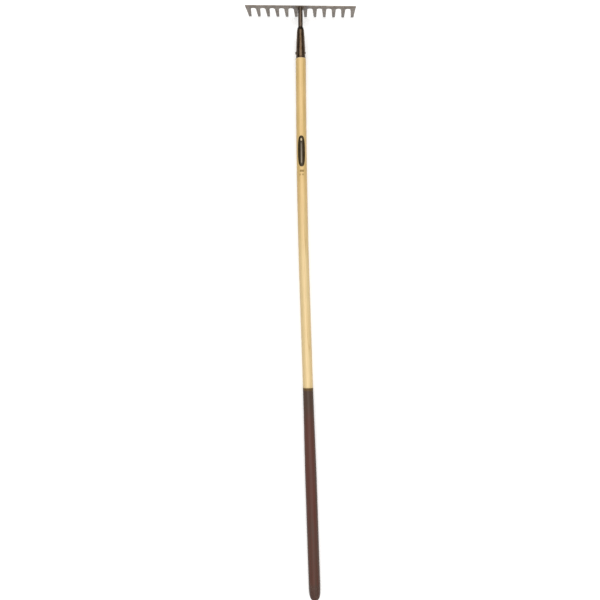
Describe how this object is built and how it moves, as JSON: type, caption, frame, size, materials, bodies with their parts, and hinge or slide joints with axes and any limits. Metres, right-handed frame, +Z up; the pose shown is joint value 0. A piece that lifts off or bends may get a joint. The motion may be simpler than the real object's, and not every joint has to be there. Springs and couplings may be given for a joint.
{
  "type": "garden rake",
  "caption": "Level-head garden rake: toothed steel bar on a neck rod, tapered riveted ferrule, long ash pole with a thin oval label and a domed brown end grip.",
  "frame": {"origin": "bottom centre of the whole rake, lying tines down on the ground", "axes": "+X along the toothed bar, +Y square to the bar towards the grip, +Z up; seen from above, the pole leaves the head 2 degrees off +Y, towards -X, and bends 1.4 degrees further that way along its first half"},
  "size_m": [0.2986, 1.5962, 0.0665],
  "materials": {
    "head_steel": "dark warm steel with a satin forged skin, bare metal at the worn tips",
    "ferrule_steel": "satin drawn tube, warm brown tint, darker at the crimped mouth",
    "rivet_steel": "satin, domed head",
    "ash_wood": "pale ash, lacquered, fine long grain",
    "grip_brown": "dark brown smooth sleeve, semi-gloss",
    "label_film": "near-black brown glossy film with a cream dot, no text"
  },
  "bodies": {
    "root": {"rake_head": "head_steel", "neck": "head_steel", "neck_weld": "head_steel", "ferrule": "ferrule_steel", "ferrule_rivet": "rivet_steel", "shaft": "ash_wood", "grip": "grip_brown", "label": "label_film"}
  },
  "joints": []
}
